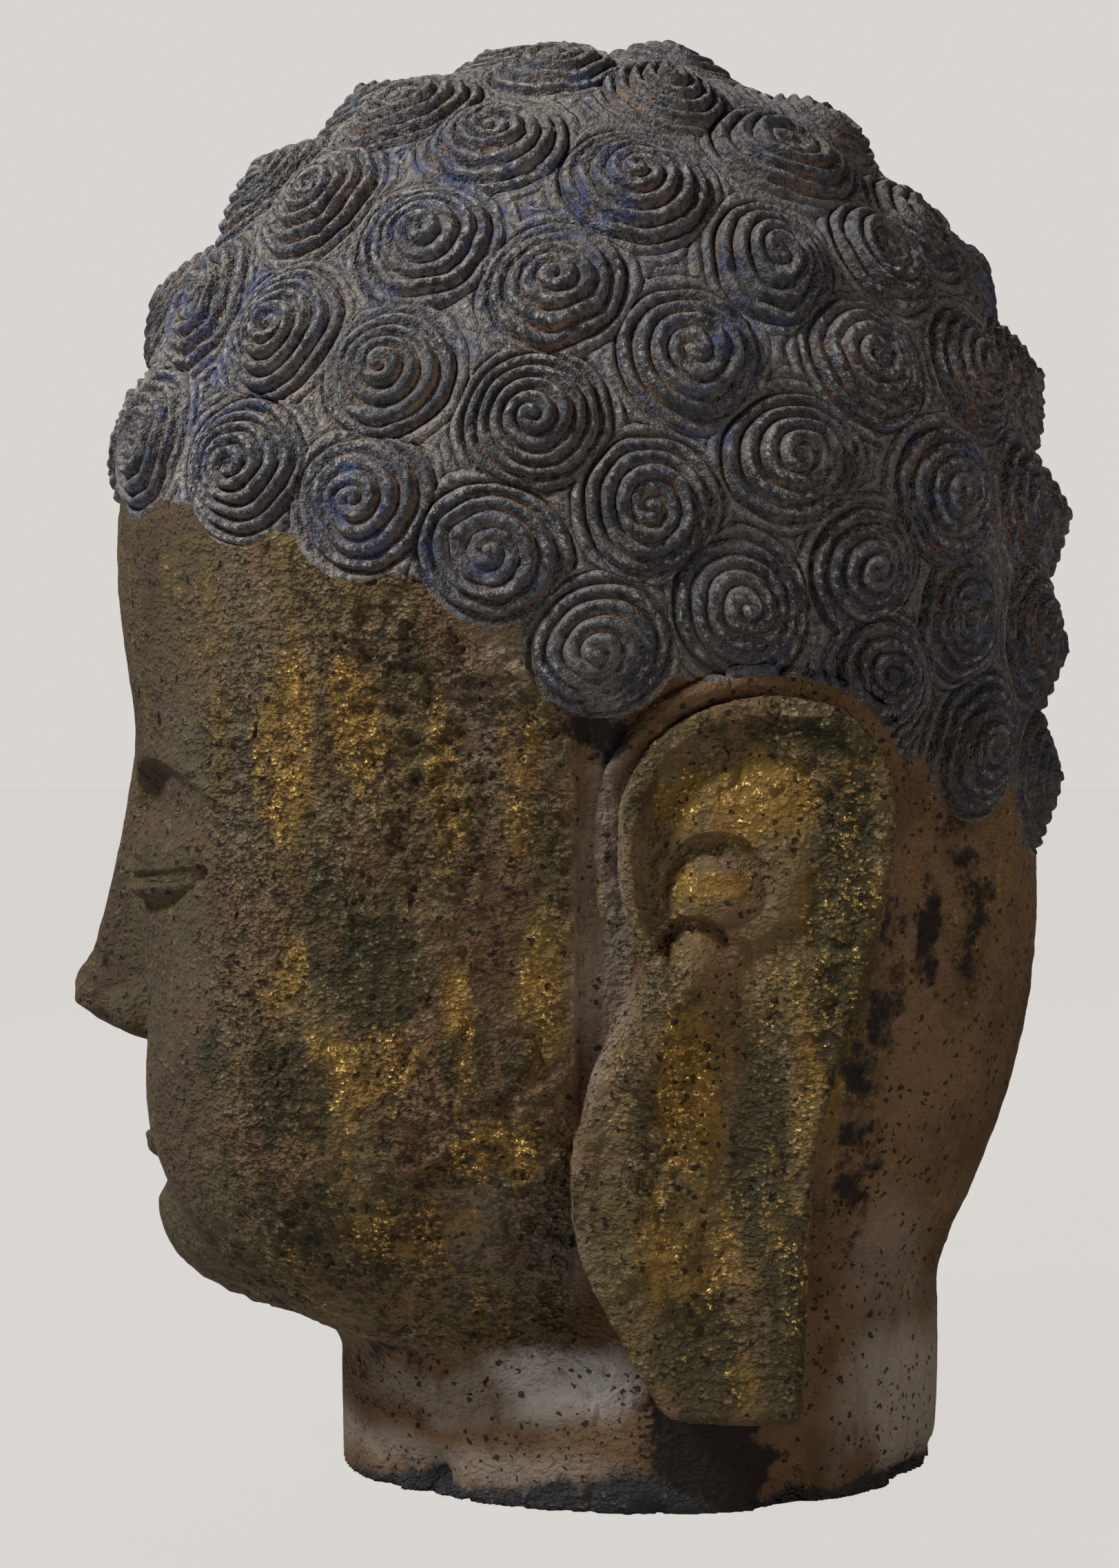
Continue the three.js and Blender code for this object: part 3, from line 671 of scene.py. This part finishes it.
# ------------------------ finish
class Nodes:
    """Short names for putting a node tree together."""

    def __init__(self, tree):
        self.tree = tree

    def add(self, kind, **inputs):
        node = self.tree.nodes.new("ShaderNode" + kind)
        for key, value in inputs.items():
            self.feed(node, key, value)
        return node

    def feed(self, node, key, value):
        socket = node.inputs[key if isinstance(key, int) else key.replace("_", " ")]
        if isinstance(value, bpy.types.NodeSocket):
            self.tree.links.new(value, socket)
        else:
            socket.default_value = value

    def attribute(self, name):
        node = self.add("Attribute")
        node.attribute_name = name
        return node.outputs["Fac"]

    def noise(self, place, scale, detail=4.0, roughness=0.6):
        node = self.add("TexNoise", Vector=place, Scale=scale, Detail=detail, Roughness=roughness)
        return node.outputs["Fac"]

    def ramp(self, value, low, high):
        """0 below low, 1 above high; low may be the greater."""
        node = self.add("MapRange", Value=value)
        node.interpolation_type = "SMOOTHSTEP"
        node.inputs["From Min"].default_value = low
        node.inputs["From Max"].default_value = high
        return node.outputs["Result"]

    def ragged(self, mask, weight, noise, strength, low, high):
        """A mask whose outline is broken up by noise."""
        return self.ramp(self.sum(self.product(mask, weight), self.product(noise, strength)), low, high)

    def math(self, operation, a, b=0.0):
        node = self.add("Math")
        node.operation = operation
        self.feed(node, 0, a)
        self.feed(node, 1, b)
        return node.outputs[0]

    def mix(self, share, a, b):
        node = self.add("Mix")
        node.data_type = "RGBA"
        for index, value in ((0, share), (6, a), (7, b)):
            self.feed(node, index, value)
        return node.outputs[2]

    def stretched(self, place, scale):
        node = self.add("Mapping", Vector=place)
        node.inputs["Scale"].default_value = scale
        return node.outputs["Vector"]

    def warped(self, place, scale, reach):
        """The place shifted about by up to half the reach."""
        shift = self.add("TexNoise", Vector=place, Scale=scale, Detail=1.0).outputs["Color"]
        node = self.add("VectorMath")
        node.operation = "MULTIPLY_ADD"
        for index, value in enumerate((shift, (reach,) * 3, place)):
            self.feed(node, index, value)
        return node.outputs["Vector"]

    def grain(self, place, lumps, grains, pits, share):
        """Lumps, grains, grit and pits of weathered stone; how many go on a metre, and the share of pits."""
        node = self.add("Group")
        node.node_tree = stone_grain()
        for key, value in (("Vector", place), ("Lumps per Metre", lumps), ("Grains per Metre", grains),
                           ("Pits per Metre", pits), ("Pit Share", share)):
            self.feed(node, node.inputs.find(key), value)
        return (node.outputs[name] for name in ("Lumps", "Grains", "Grit", "Pits"))

    def product(self, *values):
        result = values[0]
        for value in values[1:]:
            result = self.math("MULTIPLY", result, value)
        return result

    def sum(self, *values):
        result = values[0]
        for value in values[1:]:
            result = self.math("ADD", result, value)
        return result


def rgba(colour):
    return (*colour, 1.0)


def new_material(name):
    material = bpy.data.materials.new(name)
    material.use_nodes = True
    n = Nodes(material.node_tree)
    return material, n, material.node_tree.nodes["Principled BSDF"], n.add("TexCoord").outputs["Object"]


def coil_groove(n):
    """1 at the bottom of a groove of the coil, 0 on its ridge."""
    attribute = n.add("Attribute")
    attribute.attribute_name = "coil"
    split = n.add("SeparateXYZ", Vector=attribute.outputs["Vector"])
    angle = n.math("DIVIDE", n.math("ARCTAN2", split.outputs["Y"], split.outputs["X"]), math.tau)
    part = n.math("SUBTRACT", n.math("FRACT", n.math("SUBTRACT", split.outputs["Z"], angle)), CREST)
    return n.math("MAXIMUM", n.math("DIVIDE", part, -CREST), n.math("DIVIDE", part, 1 - CREST))


def stone_grain():
    """Lumps, grains, grit and pits of weathered stone, each from 0 to 1, as a node group."""
    tree = bpy.data.node_groups.get("stone grain")
    if tree:
        return tree
    tree = bpy.data.node_groups.new("stone grain", "ShaderNodeTree")
    for name, kind in (("Vector", "Vector"), ("Lumps per Metre", "Float"), ("Grains per Metre", "Float"),
                       ("Pits per Metre", "Float"), ("Pit Share", "Float")):
        tree.interface.new_socket(name=name, in_out="INPUT", socket_type="NodeSocket" + kind)
    for name in ("Lumps", "Grains", "Grit", "Pits"):
        tree.interface.new_socket(name=name, in_out="OUTPUT", socket_type="NodeSocketFloat")
    n = Nodes(tree)
    given, made = tree.nodes.new("NodeGroupInput").outputs, tree.nodes.new("NodeGroupOutput")
    place = given["Vector"]
    uneven = n.warped(place, 520, 0.0016)
    grain = n.add("TexVoronoi", Vector=uneven, Scale=given["Grains per Metre"])
    long_pits = n.stretched(n.warped(place, 330, 0.0045), (1, 1, 0.66))
    pit = n.add("TexVoronoi", Vector=long_pits, Scale=given["Pits per Metre"])
    chance = n.add("SeparateColor", Color=pit.outputs["Color"]).outputs["Red"]
    rare = n.math("SUBTRACT", n.math("ADD", chance, given["Pit Share"]), 1.0)
    rare = n.math("DIVIDE", rare, given["Pit Share"])
    size = n.product(n.math("MAXIMUM", rare, 0.0), 0.38)
    n.feed(made, "Lumps", n.ramp(n.noise(place, given["Lumps per Metre"], 2, 0.5), 0.25, 0.75))
    n.feed(made, "Grains", n.ramp(grain.outputs["Distance"], 0.66, 0.08))
    grit = n.noise(place, n.product(given["Grains per Metre"], 2.3), 1, 0.5)
    n.feed(made, "Grit", n.ramp(grit, 0.25, 0.75))
    n.feed(made, "Pits", n.ramp(n.math("SUBTRACT", pit.outputs["Distance"], size), 0.03, -0.05))
    return tree


def hair_material(colours):
    """Blue-black paint on carved coils, worn grey on the ridges with painted highlights, brown dirt in the
    grooves, dust lightened at the front as painted light, and painted shade low at the back.
    """
    material, n, shader, place = new_material("painted curls")
    groove, ground = coil_groove(n), n.attribute("ground")
    lumps, grains, grit, pits = n.grain(place, 380, 820, 330, 0.16)
    upward = n.ramp(n.add("SeparateXYZ", Vector=n.add("TexCoord").outputs["Normal"]).outputs["Z"], 0.15, 0.85)
    on_curl = n.sum(n.product(ground, -0.65), 1.0)
    valley = n.product(n.ramp(groove, 0.50, 0.90), on_curl)
    ridge = n.ramp(groove, 0.65, 0.05)
    broad, mid = n.noise(place, 13, 4), n.noise(place, 70, 5, 0.65)
    worn = n.sum(n.product(lumps, 0.5), n.product(grains, 0.3), n.product(grit, 0.2))
    colour = n.mix(n.ramp(mid, 0.40, 0.72), rgba(colours.hair), rgba(colours.hair_grey))
    dust_and_painted_light = n.product(ground, n.ramp(mid, 0.70, 0.40), 0.8)
    # dust also on up-facing curls: lighter on their tops
    dust_and_painted_light = n.math("MAXIMUM", dust_and_painted_light, n.product(upward, n.ramp(mid, 0.62, 0.46), 0.8))
    dust_and_painted_light = n.math("MAXIMUM", dust_and_painted_light, n.product(valley, n.ramp(n.noise(place, 40, 4), 0.48, 0.60), 0.7))
    split = n.add("SeparateXYZ", Vector=place)
    forward = n.ramp(split.outputs["Y"], 0.10, -0.12)
    # painted shade: darker low at the back of the hair
    painted_shade_low_behind = n.product(n.ramp(split.outputs["Y"], 0.05, 0.12), n.ramp(split.outputs["Z"], 0.345, 0.275))
    # painted light: full dust towards the front of the head, half at the back
    dust_and_painted_light = n.product(dust_and_painted_light, n.ramp(worn, 0.05, 0.46), n.sum(n.product(forward, 0.5), 0.5))
    colour = n.mix(dust_and_painted_light, colour, rgba(colours.dust))
    blue = n.product(n.ramp(broad, 0.46, 0.60), n.ramp(n.noise(place, 90, 4, 0.6), 0.46, 0.62))
    blue = n.product(blue, n.sum(n.product(n.ramp(groove, 0.2, 0.7), 0.55), 0.3))
    colour = n.mix(blue, colour, rgba(colours.blue))
    dirt = n.product(valley, n.ramp(n.noise(place, 46, 4), 0.46, 0.60))
    colour = n.mix(n.product(dirt, 0.6), colour, rgba(colours.earth))
    # ridges worn lighter: partly wear, partly a painted highlight along the ridges
    rubbed_and_highlit = n.product(ridge, n.ramp(worn, 0.46, 0.66), n.ramp(n.noise(place, 30, 3), 0.38, 0.60))
    colour = n.mix(n.product(rubbed_and_highlit, 0.8), colour, rgba(colours.rubbed_and_highlit))
    # darker in the grains' hollows and pits of the curls: partly dirt, partly painted shade
    hollow = n.product(n.math("MAXIMUM", n.ramp(worn, 0.36, 0.22), pits), on_curl)
    grime_and_painted_shade = n.math("MAXIMUM", n.product(hollow, 0.65), n.product(painted_shade_low_behind, 0.45))
    colour = n.mix(grime_and_painted_shade, colour, rgba(colours.soot_and_shade))
    n.feed(shader, "Base Color", colour)
    n.feed(shader, "Roughness", n.ramp(worn, 1.6, -0.1))
    shader.inputs["Specular IOR Level"].default_value = 0.3
    relief = n.sum(n.product(lumps, 0.75), n.product(grains, 0.28), n.product(grit, 0.2))
    relief = n.sum(relief, n.product(pits, -0.8), n.product(n.math("POWER", groove, 4.0), -1.0))
    bump = n.add("Bump", Strength=1.0, Distance=MM, Height=relief)
    n.feed(shader, "Normal", bump.outputs["Normal"])
    return material


def skin_material(colours):
    """Weathered stone with remains of gilding, dark growth and pits, with painted shade in hollows, under the
    lobe and jaw and over the front of the face, and painted light on the neck and before the ear.
    """
    material, n, shader, place = new_material("gilded stone")
    crust, old, gilt, growth, pale, dark, broken = (
        n.attribute(name) for name in ("crust", "aged", "gilt", "growth", "pale", "dark", "broken"))
    streaks = n.stretched(place, (1, 1, 0.35))
    crumbs = n.stretched(place, (1, 1, 1.35))
    mottle = n.noise(place, 22, 5)
    clusters = n.ramp(n.noise(place, 26, 3), 0.38, 0.66)
    share = n.sum(n.product(clusters, 0.80), 0.30)
    lumps, grains, grit, pits = n.grain(crumbs, 190, 400, 330, share)
    worn = n.sum(n.product(lumps, 0.35), n.product(grains, 0.40), n.product(grit, 0.25))
    hollow = n.ramp(worn, 0.42, 0.24)
    top = n.ramp(worn, 0.50, 0.70)

    colour = n.mix(n.ramp(mottle, 0.36, 0.62), rgba(colours.stone_dark), rgba(colours.stone))
    # pale stone, partly painted light on the right of the neck and before the ear
    pale_and_lit_here = n.product(pale, n.ramp(n.noise(streaks, 34, 5), 0.30, 0.48))
    colour = n.mix(n.product(pale_and_lit_here, 0.85), colour, rgba(colours.pale))
    aged = n.product(old, n.ramp(n.noise(streaks, 24, 5, 0.6), 0.38, 0.58), n.sum(n.product(pale, -0.6), 1.0))
    colour = n.mix(n.product(aged, 0.85), colour, rgba(colours.olive))
    # sand on the grains' tops, more where aged: partly dust, partly a painted highlight on the tops
    dust_and_painted_light = n.product(n.ramp(n.noise(place, 48, 5, 0.65), 0.44, 0.60), top, n.sum(n.product(old, 0.85), 0.15),
                      n.sum(n.product(gilt, -0.6), 1.0))
    colour = n.mix(n.product(dust_and_painted_light, 0.8), colour, rgba(colours.sand))

    gilt_edge = n.ragged(gilt, 0.50, n.noise(streaks, 50, 6, 0.65), 1.8, 0.98, 1.42)
    colour = n.mix(n.product(gilt_edge, 0.75), colour, rgba(colours.ochre))
    growth_edge = n.ragged(growth, 0.50, n.noise(streaks, 44, 6, 0.7), 1.8, 1.02, 1.38)
    colour = n.mix(n.product(growth_edge, n.ramp(worn, 0.85, 0.50), 0.85), colour, rgba(colours.growth))
    leaf = n.product(gilt_edge, n.ramp(n.noise(streaks, 95, 5, 0.65), 0.44, 0.60))
    colour = n.mix(n.product(leaf, top, 0.6), colour, rgba(colours.tan))
    shimmer = n.ramp(n.noise(place, 1400, 1, 0.5), 0.52, 0.60)
    flecks = n.product(leaf, n.ramp(worn, 0.46, 0.62), shimmer)
    colour = n.mix(flecks, colour, rgba(colours.gold))
    # darker in the grains' hollows on the crust: partly dirt, partly painted shade
    colour = n.mix(n.product(crust, hollow, 0.7), colour, rgba(colours.soot_and_shade))
    # painted shade: the front of the face darkened with the growth and broken-stone colours
    forward = n.ramp(n.add("SeparateXYZ", Vector=place).outputs["Y"], -0.095, -0.140)
    colour = n.mix(n.product(forward, 0.40), colour, rgba(colours.growth))
    colour = n.mix(n.product(forward, 0.25), colour, rgba(colours.broken))

    # dark patches, partly painted shade under the lobe and jaw
    dark_and_shade_edge = n.ragged(dark, 0.9, n.noise(place, 90, 6, 0.7), 3.0, 1.78, 2.35)
    colour = n.mix(n.product(dark_and_shade_edge, 0.95), colour, rgba(colours.soot_and_shade))
    colour = n.mix(n.product(pits, 0.85), colour, rgba(colours.soot_and_shade))
    fresh = n.mix(n.product(n.ramp(worn, 0.55, 0.85), 0.22), rgba(colours.broken), rgba(colours.rubbed_and_highlit))
    colour = n.mix(broken, colour, fresh)
    n.feed(shader, "Base Color", colour)
    n.feed(shader, "Metallic", n.product(flecks, 0.95))
    n.feed(shader, "Roughness", n.ramp(n.sum(flecks, n.product(gilt_edge, 0.25)), 2.0, -0.4))
    shader.inputs["Specular IOR Level"].default_value = 0.08

    rough = n.sum(n.product(crust, 0.9), n.product(broken, 0.7), 0.30)
    relief = n.sum(n.product(lumps, 1.8), n.product(grains, 0.8), n.product(grit, 0.45))
    relief = n.sum(n.product(relief, rough), n.product(pits, -0.9))
    bump = n.add("Bump", Strength=1.0, Distance=MM, Height=relief)
    n.feed(shader, "Normal", bump.outputs["Normal"])
    return material


# ------------------------ what a user sets
def colour_property(name, description, default):
    return FloatVectorProperty(name=name, description=description, default=default, subtype="COLOR",
                               min=0, max=1)


class StoneHeadSizes(bpy.types.PropertyGroup):
    cells: IntProperty(name="Cells", description="Squares along each side of the block before it is carved",
                       default=460, min=32, max=600)
    triangles: IntProperty(name="Triangles", description="Most triangles in each piece's outer surface",
                           default=188000, min=10000, max=190000)
    curl_height: FloatProperty(name="Curl Height", description="How far a curl stands proud",
                               default=0.012, unit="LENGTH")
    coil_pitch: FloatProperty(name="Coil Pitch", description="From one turn of a coil to the next",
                              default=0.0050, unit="LENGTH")
    coil_depth: FloatProperty(name="Coil Depth", description="Depth of the cut between turns",
                              default=0.0040, unit="LENGTH")


class StoneHeadColours(bpy.types.PropertyGroup):
    stone: colour_property("Stone", "Bare stone where it is lightest", (0.112, 0.065, 0.034))
    stone_dark: colour_property("Dark Stone", "Bare stone where it is darkest", (0.066, 0.037, 0.018))
    # also a painted highlight on the grains' tops
    sand: colour_property("Sand", "Dry dust on the skin", (0.184, 0.144, 0.093))
    # also painted light on the right of the neck and before the ear
    pale: colour_property("Pale Stone", "Washed, pale stone", (0.315, 0.285, 0.248))
    olive: colour_property("Olive", "Aged crust over the face and ears", (0.085, 0.062, 0.027))
    ochre: colour_property("Ochre", "Ground under the gilding", (0.160, 0.088, 0.018))
    tan: colour_property("Tan", "Rubbed gilding", (0.300, 0.175, 0.058))
    gold: colour_property("Gold", "Flecks of gold leaf", (0.92, 0.58, 0.17))
    # growth colour, also used as painted shade over the front of the face
    growth: colour_property("Growth", "Dark green growth", (0.027, 0.024, 0.011))
    # nearly black stone and pits, and also painted shade under the lobe and jaw, in hollows and low at the
    # back of the hair
    soot_and_shade: colour_property("Soot", "Nearly black stone, and the depth of pits", (0.011, 0.009, 0.008))
    # broken-stone colour, also used as painted shade over the front of the face
    broken: colour_property("Broken Stone", "Stone laid bare where the rim is chipped", (0.027, 0.027, 0.029))
    hair: colour_property("Hair", "Blue-black paint on the curls", (0.030, 0.030, 0.035))
    hair_grey: colour_property("Grey Hair", "Faded paint on the curls", (0.096, 0.088, 0.084))
    # also paints light towards the front of the curls
    dust: colour_property("Dust", "Dry dust between the curls", (0.200, 0.166, 0.138))
    # worn ridges, and also a painted highlight on them
    rubbed_and_highlit: colour_property("Rubbed", "Worn ridges of the coils", (0.285, 0.252, 0.218))
    blue: colour_property("Blue", "Remains of brighter blue paint", (0.032, 0.046, 0.110))
    earth: colour_property("Earth", "Brown dirt in the grooves of the curls", (0.140, 0.078, 0.040))
    floor: colour_property("Floor", "Studio floor", (0.50, 0.48, 0.46))
    backdrop: colour_property("Backdrop", "Behind the head", (0.700, 0.668, 0.644))


class StoneHeadStage(bpy.types.PropertyGroup):
    distance: FloatProperty(name="Camera Distance", description="From the middle of the head to the camera",
                            default=1.3, unit="LENGTH")
    camera_height: FloatProperty(name="Camera Height", description="Height of the camera over the floor",
                                 default=0.3, unit="LENGTH")
    key_power: FloatProperty(name="Key Light", description="Light above the face", default=84, unit="POWER")
    fill_power: FloatProperty(name="Fill Light", description="Weak light on the ear's side", default=18,
                              unit="POWER")
    far_power: FloatProperty(name="Far Light", description="Weak light on the side away from the camera",
                             default=22, unit="POWER")
    ambient: FloatProperty(name="Ambient", description="Light from all round", default=0.08, min=0)


# ------------------------ operators
class STONEHEAD_OT_skin(bpy.types.Operator):
    """Carve the face, and the ears with nape and neck"""
    bl_idname = "stonehead.skin"
    bl_label = "Face, Ears and Neck"

    def execute(self, context):
        material = skin_material(context.scene.stone_head_colours)
        for name, zone in (("face", FACE), ("ears_nape_and_neck", EARS_AND_NECK)):
            piece = zone_piece(name, zone, context.scene.stone_head_sizes)
            piece.data.materials.append(material)
        return {"FINISHED"}


class STONEHEAD_OT_curls(bpy.types.Operator):
    """Carve the curls on the left and right of the head"""
    bl_idname = "stonehead.curls"
    bl_label = "Curls"

    def execute(self, context):
        material = hair_material(context.scene.stone_head_colours)
        for name, zone in (("left_curls", LEFT_CURLS), ("right_curls", RIGHT_CURLS)):
            piece = zone_piece(name, zone, context.scene.stone_head_sizes)
            piece.data.materials.append(material)
        return {"FINISHED"}


CAMERA_Y, AIM_HEIGHT, LENS = -0.0046, 0.247, 81.3            # metres, and millimetres for the lens
KEY_PLACE, FILL_PLACE, FAR_PLACE = (0.70, -1.38, 1.80), (1.6, 1.3, 0.18), (-1.7, 0.1, 0.9)
KEY_SIZE, SOFT_SIZE = 0.40, 0.8
KEY_COLOUR, FILL_COLOUR, AMBIENT_COLOUR = (0.95, 0.98, 1.0), (1.0, 0.92, 0.82), (0.86, 0.89, 0.93)
FLOOR_RADIUS = 6


def aim(thing, target):
    thing.rotation_euler = (Vector(target) - thing.location).to_track_quat("-Z", "Y").to_euler()


def area_light(name, place, target, power, size, colour=(1, 1, 1)):
    light = bpy.data.lights.new(name, "AREA")
    light.shape = "DISK"
    light.energy, light.size, light.color = power, size, colour
    lamp = bpy.data.objects.new(name, light)
    bpy.context.scene.collection.objects.link(lamp)
    lamp.location = place
    aim(lamp, target)


class STONEHEAD_OT_stage(bpy.types.Operator):
    """Set up floor, lights and camera"""
    bl_idname = "stonehead.stage"
    bl_label = "Studio"

    def execute(self, context):
        stage, colours = context.scene.stone_head_stage, context.scene.stone_head_colours
        low, high = (Vector(corner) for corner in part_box("stone_head"))
        middle = (low + high) / 2

        bm = bmesh.new()
        bmesh.ops.create_circle(bm, cap_ends=True, segments=96, radius=FLOOR_RADIUS)
        mesh = bpy.data.meshes.new("floor")
        bm.to_mesh(mesh)
        bm.free()
        floor = new_piece("floor", mesh)
        material, n, surface, _ = new_material("pale floor")
        surface.inputs["Base Color"].default_value = rgba(colours.floor)
        surface.inputs["Roughness"].default_value = 0.9
        even = n.add("Emission", Color=rgba(colours.backdrop))
        lit = n.add("MixShader")
        n.feed(lit, 0, n.math("MULTIPLY", n.add("LightPath").outputs["Is Camera Ray"], 0.97))
        n.feed(lit, 1, surface.outputs[0])
        n.feed(lit, 2, even.outputs[0])
        n.feed(material.node_tree.nodes["Material Output"], "Surface", lit.outputs[0])
        mesh.materials.append(material)

        world = bpy.data.worlds.new("studio")
        context.scene.world = world
        world.use_nodes = True
        n = Nodes(world.node_tree)
        seen = world.node_tree.nodes["Background"]
        seen.inputs["Color"].default_value = rgba(colours.backdrop)
        soft = n.add("Background", Color=rgba(AMBIENT_COLOUR), Strength=stage.ambient)
        mixed = n.add("MixShader")
        n.feed(mixed, 0, n.add("LightPath").outputs["Is Camera Ray"])
        n.feed(mixed, 1, soft.outputs[0])
        n.feed(mixed, 2, seen.outputs[0])
        n.feed(world.node_tree.nodes["World Output"], "Surface", mixed.outputs[0])

        area_light("key", KEY_PLACE, middle, stage.key_power, KEY_SIZE, KEY_COLOUR)
        area_light("fill", FILL_PLACE, middle, stage.fill_power, SOFT_SIZE, FILL_COLOUR)
        area_light("far side", FAR_PLACE, middle, stage.far_power, SOFT_SIZE)

        lens = bpy.data.cameras.new("camera")
        camera = bpy.data.objects.new("camera", lens)
        context.scene.collection.objects.link(camera)
        camera.location = (stage.distance, CAMERA_Y, stage.camera_height)
        aim(camera, (0, CAMERA_Y, AIM_HEIGHT))
        lens.sensor_fit = "AUTO"
        lens.sensor_width = 36
        lens.lens = LENS
        context.scene.camera = camera
        context.scene.view_settings.view_transform = "Standard"
        return {"FINISHED"}


class STONEHEAD_PT_panel(bpy.types.Panel):
    bl_label = "Stone Head"
    bl_space_type = "VIEW_3D"
    bl_region_type = "UI"
    bl_category = "Stone Head"

    def draw(self, context):
        scene = context.scene
        for group, operator in ((scene.stone_head_sizes, STONEHEAD_OT_skin),
                                (scene.stone_head_colours, STONEHEAD_OT_curls),
                                (scene.stone_head_stage, STONEHEAD_OT_stage)):
            box = self.layout.box()
            for name in group.bl_rna.properties.keys():
                if name not in ("rna_type", "name"):
                    box.prop(group, name)
            box.operator(operator.bl_idname)


CLASSES = (StoneHeadSizes, StoneHeadColours, StoneHeadStage, STONEHEAD_OT_skin, STONEHEAD_OT_curls,
           STONEHEAD_OT_stage, STONEHEAD_PT_panel)
GROUPS = {"stone_head_sizes": StoneHeadSizes, "stone_head_colours": StoneHeadColours,
          "stone_head_stage": StoneHeadStage}


def register():
    for cls in CLASSES:
        bpy.utils.register_class(cls)
    for name, group in GROUPS.items():
        setattr(bpy.types.Scene, name, PointerProperty(type=group))


def unregister():
    for name in GROUPS:
        delattr(bpy.types.Scene, name)
    for cls in reversed(CLASSES):
        bpy.utils.unregister_class(cls)


def main():
    register()
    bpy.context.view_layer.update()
    bpy.ops.stonehead.skin()
    bpy.ops.stonehead.curls()
    bpy.ops.stonehead.stage()


if __name__ == "__main__":
    main()
